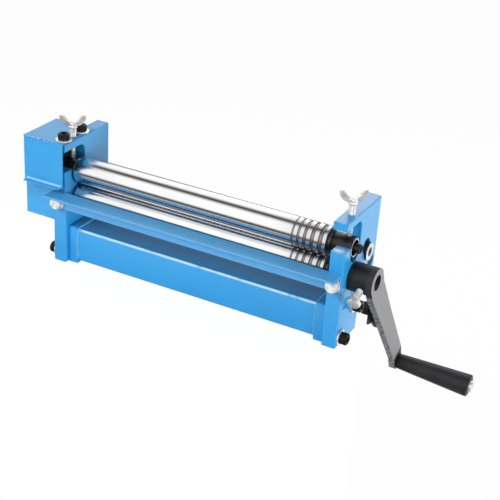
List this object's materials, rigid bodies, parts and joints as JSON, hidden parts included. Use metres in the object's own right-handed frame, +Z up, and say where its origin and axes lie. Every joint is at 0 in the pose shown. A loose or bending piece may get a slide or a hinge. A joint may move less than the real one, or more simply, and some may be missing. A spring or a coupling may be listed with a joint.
{
  "type": "slip roll machine",
  "caption": "Bench slip roll: geared front rolls with wire grooves, a rear bending roll in slanted slots, plate frames on a beam, wing screws, star knobs and a hand crank.",
  "frame": {"origin": "centre of the base beam's underside", "axes": "+X along the rolls towards the crank, +Y to the rear, where the rear roll is, +Z up"},
  "size_m": [0.5176, 0.17, 0.2292],
  "materials": {
    "blue_paint": "satin",
    "blue_sheet": "satin",
    "roll_steel": "polished",
    "plain_steel": "satin",
    "gear_steel": "machined",
    "dark_steel": "blackened",
    "zinc_steel": "zinc plated",
    "grey_paint": "textured",
    "black_paint": "satin",
    "black_plastic": "moulded"
  },
  "bodies": {
    "stand": {"left_frame": "blue_paint", "right_frame": "blue_paint", "base_tube": "blue_paint", "left_base_block": "blue_paint", "right_base_block": "blue_paint", "base_screws": "dark_steel", "base_washers": "zinc_steel", "front_angle_bar": "blue_paint", "angle_bar_bolts": "zinc_steel", "angle_bar_washers": "zinc_steel", "gear_hood": "blue_sheet", "hood_screws": "dark_steel", "hood_washers": "zinc_steel", "gear_guard": "blue_sheet", "guard_screws": "zinc_steel", "lower_bush_left": "plain_steel", "lower_bush_right": "plain_steel"},
    "lower_roll": {"lower_roll": "roll_steel", "lower_gear": "gear_steel", "lower_gear_key": "plain_steel", "lower_gear_ring": "dark_steel", "crank_hub": "black_paint", "crank_set_bolt": "zinc_steel", "crank_arm": "grey_paint", "grip_screw": "zinc_steel"},
    "crank_grip": {"crank_grip": "black_plastic"},
    "upper_bearings": {"upper_bush_left": "plain_steel", "upper_bush_right": "plain_steel"},
    "upper_roll": {"upper_roll": "roll_steel", "upper_gear": "gear_steel", "upper_gear_key": "plain_steel", "upper_gear_ring": "dark_steel"},
    "left_wing_screw": {"left_wing_screw": "zinc_steel"},
    "right_wing_screw": {"right_wing_screw": "zinc_steel"},
    "rear_bearings": {"left_slide_block": "plain_steel", "right_slide_block": "plain_steel"},
    "rear_roll": {"rear_roll": "roll_steel", "rear_end_washers": "plain_steel", "rear_end_screws": "dark_steel"},
    "left_adjuster": {"left_adjusting_screw": "zinc_steel", "left_star_knob": "black_plastic"},
    "right_adjuster": {"right_adjusting_screw": "zinc_steel", "right_star_knob": "black_plastic"}
  },
  "joints": [
    {"name": "lower_roll_spin", "type": "hinge", "parent": "stand", "child": "lower_roll", "pos_m": [0, 0, 0.0718], "axis": [1, 0, 0], "continuous": true},
    {"name": "grip_spin", "type": "hinge", "parent": "lower_roll", "child": "crank_grip", "pos_m": [0.216, 0.06347, -0.04961], "axis": [0.998, 0.0291, -0.0556], "continuous": true},
    {"name": "upper_roll_lift", "type": "slide", "parent": "stand", "child": "upper_bearings", "axis": [0, 0, 1], "range_m": [0, 0.003]},
    {"name": "upper_roll_spin", "type": "hinge", "parent": "upper_bearings", "child": "upper_roll", "pos_m": [0, 0, 0.1033], "axis": [1, 0, 0], "continuous": true},
    {"name": "right_wing_screw_turn", "type": "hinge", "parent": "upper_bearings", "child": "right_wing_screw", "pos_m": [0.168, 0, 0.13], "axis": [0, 0, 1], "range_deg": [0, 864]},
    {"name": "left_wing_screw_turn", "type": "hinge", "parent": "upper_bearings", "child": "left_wing_screw", "pos_m": [-0.168, 0, 0.13], "axis": [0, 0, 1], "range_deg": [0, 864]},
    {"name": "rear_roll_adjust", "type": "slide", "parent": "stand", "child": "rear_bearings", "axis": [0, -0.5446, 0.8387], "range_m": [-0.018, 0.0095]},
    {"name": "rear_roll_spin", "type": "hinge", "parent": "rear_bearings", "child": "rear_roll", "pos_m": [0, 0.03585, 0.08471], "axis": [1, 0, 0], "continuous": true},
    {"name": "right_adjusting_screw_turn", "type": "hinge", "parent": "rear_bearings", "child": "right_adjuster", "pos_m": [0.168, 0.03585, 0.08471], "axis": [0, -0.5446, 0.8387], "range_deg": [-5184, 2736]},
    {"name": "left_adjusting_screw_turn", "type": "hinge", "parent": "rear_bearings", "child": "left_adjuster", "pos_m": [-0.168, 0.03585, 0.08471], "axis": [0, -0.5446, 0.8387], "range_deg": [-5184, 2736]}
  ],
  "couplings": [
    {"joint": "upper_roll_spin", "follows": "lower_roll_spin", "ratio": -1},
    {"joint": "right_wing_screw_turn", "follows": "upper_roll_lift", "rad_per_m": 5026.5},
    {"joint": "left_wing_screw_turn", "follows": "upper_roll_lift", "rad_per_m": 5026.5},
    {"joint": "right_adjusting_screw_turn", "follows": "rear_roll_adjust", "rad_per_m": 5026.5},
    {"joint": "left_adjusting_screw_turn", "follows": "rear_roll_adjust", "rad_per_m": 5026.5}
  ]
}
